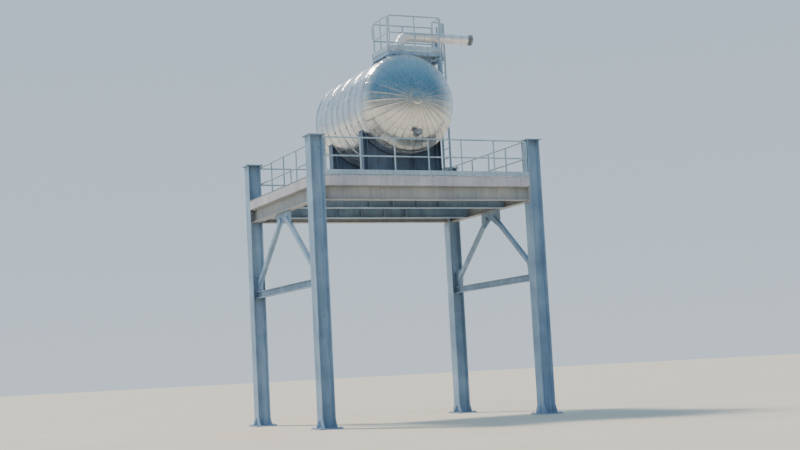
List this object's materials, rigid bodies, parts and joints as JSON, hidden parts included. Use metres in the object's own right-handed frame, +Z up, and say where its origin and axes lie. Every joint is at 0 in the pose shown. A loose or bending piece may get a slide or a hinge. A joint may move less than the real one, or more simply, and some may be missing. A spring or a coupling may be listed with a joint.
{
  "type": "gas drum on steel stand",
  "caption": "Round-ended horizontal gas drum in aluminium cladding, on saddles on a railed steel deck with tall columns, with a top platform, ladder and pipe.",
  "frame": {"origin": "on the ground, in the middle of the four columns, 0.25 m in front of the middle of the drum", "axes": "+Z up, +Y along the drum from its front head to its rear head, +X to the right of someone facing the front head, the side that the pipe and the ladder are on"},
  "size_m": [7.7, 6.3, 12.25],
  "materials": {
    "frame_paint": "satin",
    "rail_paint": "satin",
    "galvanised": "matte",
    "shell_cladding": "satin",
    "head_cladding": "satin",
    "pipe_cladding": "satin",
    "flange_steel": "matte"
  },
  "bodies": {
    "root": {"brace_left_front": "frame_paint", "brace_left_rear": "frame_paint", "brace_right_front": "frame_paint", "brace_right_rear": "frame_paint", "column_left_front": "frame_paint", "column_left_rear": "frame_paint", "column_right_front": "frame_paint", "column_right_rear": "frame_paint", "deck_panel_front": "galvanised", "deck_panel_rear": "galvanised", "deck_rail_front": "rail_paint", "deck_rail_left": "rail_paint", "deck_rail_rear": "rail_paint", "deck_rail_right": "rail_paint", "drain_nozzle": "flange_steel", "gauge_nozzle": "flange_steel", "girder_front": "frame_paint", "girder_rear": "frame_paint", "head_front": "head_cladding", "head_rear": "head_cladding", "ladder_handrail_front": "galvanised", "ladder_handrail_rear": "galvanised", "manway_cover": "flange_steel", "manway_neck": "flange_steel", "outlet_elbow": "pipe_cladding", "outlet_nozzle": "flange_steel", "outlet_run": "pipe_cladding", "platform_floor": "galvanised", "platform_frame": "frame_paint", "platform_rail_front": "rail_paint", "platform_rail_left": "rail_paint", "platform_rail_rear": "rail_paint", "platform_rail_right": "rail_paint", "saddle_beam_front": "frame_paint", "saddle_beam_rear": "frame_paint", "saddle_front": "frame_paint", "saddle_rear": "frame_paint", "side_girder_left": "frame_paint", "side_girder_right": "frame_paint", "side_strut_left": "frame_paint", "side_strut_right": "frame_paint", "tank_ladder": "galvanised", "tank_shell": "shell_cladding"}
  },
  "joints": []
}
